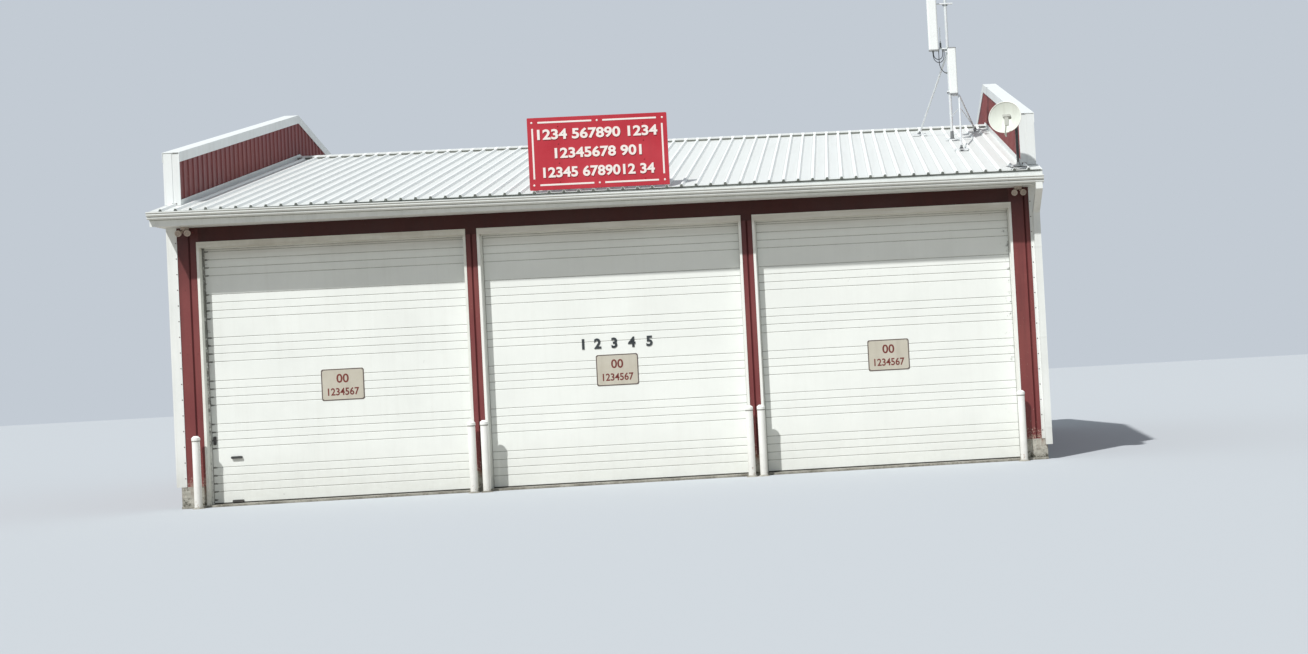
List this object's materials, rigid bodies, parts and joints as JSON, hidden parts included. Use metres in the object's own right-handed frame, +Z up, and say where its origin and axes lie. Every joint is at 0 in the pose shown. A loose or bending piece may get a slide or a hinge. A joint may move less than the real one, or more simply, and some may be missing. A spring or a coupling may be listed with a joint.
{
  "type": "fire station building",
  "caption": "Metal-clad fire station with sectional doors in a row, a low gable roof between raised end walls, a roof sign, an antenna mast and a dish.",
  "frame": {"origin": "ground level in the middle of the plan, straight below the ridge, on the underside of the floor slab", "axes": "+X along the front to the right as seen from the street, +Y towards the back, +Z up"},
  "size_m": [12.3506, 11.984, 7.8681],
  "materials": {
    "bollard_paint": "white painted pipe",
    "cable_jacket": "black cable jacket",
    "concrete": "rough cast concrete with stains",
    "dark_steel": "dark weathered steel",
    "deck_board": "roof boarding and purlins",
    "dish_paint": "off-white painted steel",
    "galvanised": "dull galvanised steel tube",
    "grey_plastic": "weathered light grey plastic cover",
    "lamp_housing": "cast lamp housing",
    "red_sheet": "factory-painted barn-red ribbed steel sheet",
    "sign_paint": "bright red painted sign panel",
    "white_door": "white painted steel door sections",
    "white_roof": "white ribbed roof sheet, weathered",
    "white_sheet": "factory-painted white steel sheet, weathered",
    "white_trim": "folded white steel trim"
  },
  "bodies": {
    "root": {"floor_slab": "concrete", "stem_wall_left": "concrete", "stem_wall_right": "concrete", "stem_wall_rear": "concrete", "stem_piers_front": "concrete", "door_columns": "red_sheet", "corner_panels": "red_sheet", "front_header": "red_sheet", "end_wall_right": "red_sheet", "end_wall_left": "red_sheet", "end_siding_right": "red_sheet", "end_siding_left": "red_sheet", "parapet_lining_right": "red_sheet", "parapet_lining_left": "red_sheet", "coping_right": "white_sheet", "coping_left": "white_sheet", "parapet_caps": "white_sheet", "corner_trims": "white_trim", "roof_flashings": "white_sheet", "rear_wall": "red_sheet", "rear_siding": "red_sheet", "roof_sheet_front": "white_roof", "roof_sheet_rear": "white_roof", "roof_deck_front": "deck_board", "roof_deck_rear": "deck_board", "ridge_cap": "white_roof", "soffits": "white_trim", "fascias": "white_trim", "eave_end_boards": "white_trim", "gutter_front": "white_sheet", "gutter_rear": "white_sheet", "downspouts": "white_sheet", "sign_board": "sign_paint", "sign_posts": "dark_steel", "antenna_mast": "galvanised", "panel_antennas": "grey_plastic", "satellite_dish": "dish_paint", "dish_feed": "dark_steel", "dish_pole": "galvanised", "floodlights": "lamp_housing", "jumper_cable_1": "cable_jacket", "jumper_cable_2": "cable_jacket", "jumper_cable_3": "cable_jacket", "bollards": "bollard_paint", "door_hardware": "dark_steel", "sectional_door_1": "white_door", "door_trim_1": "white_trim", "sectional_door_2": "white_door", "door_trim_2": "white_trim", "sectional_door_3": "white_door", "door_trim_3": "white_trim"}
  },
  "joints": []
}
